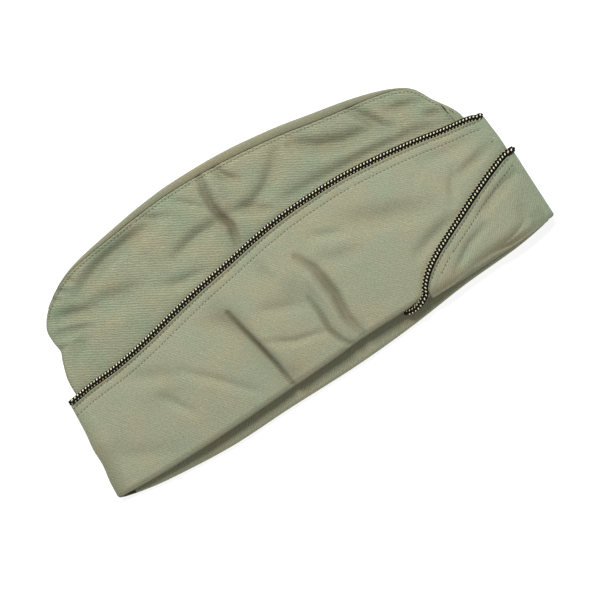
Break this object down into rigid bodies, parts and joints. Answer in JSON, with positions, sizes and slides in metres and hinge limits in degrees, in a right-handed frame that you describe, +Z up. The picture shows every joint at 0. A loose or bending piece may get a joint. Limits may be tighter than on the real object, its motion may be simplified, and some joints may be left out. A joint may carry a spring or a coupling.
{
  "type": "garrison cap",
  "caption": "Soft cloth garrison cap lying flat: boat-shaped crown, turned-up curtain with braided piping and a diagonal front flap.",
  "frame": {"origin": "floor under the middle of the cap as it lies on its left side", "axes": "+X from the back fold to the front fold, +Y from the base edge to the top of the crown, +Z up from the floor through the flattened cap"},
  "size_m": [0.2882, 0.1405, 0.0199],
  "materials": {
    "crown_twill": "khaki grey-green cotton twill",
    "strip_twill": "khaki cotton twill, slightly darker",
    "curtain_twill": "khaki grey-green cotton twill",
    "piping_braid": "black braid with pale gold thread"
  },
  "bodies": {
    "root": {"crown_right": "crown_twill", "crown_left": "crown_twill", "crown_top": "strip_twill", "curtain_right": "curtain_twill", "curtain_left": "curtain_twill", "piping_right": "piping_braid", "piping_left": "piping_braid"}
  },
  "joints": []
}
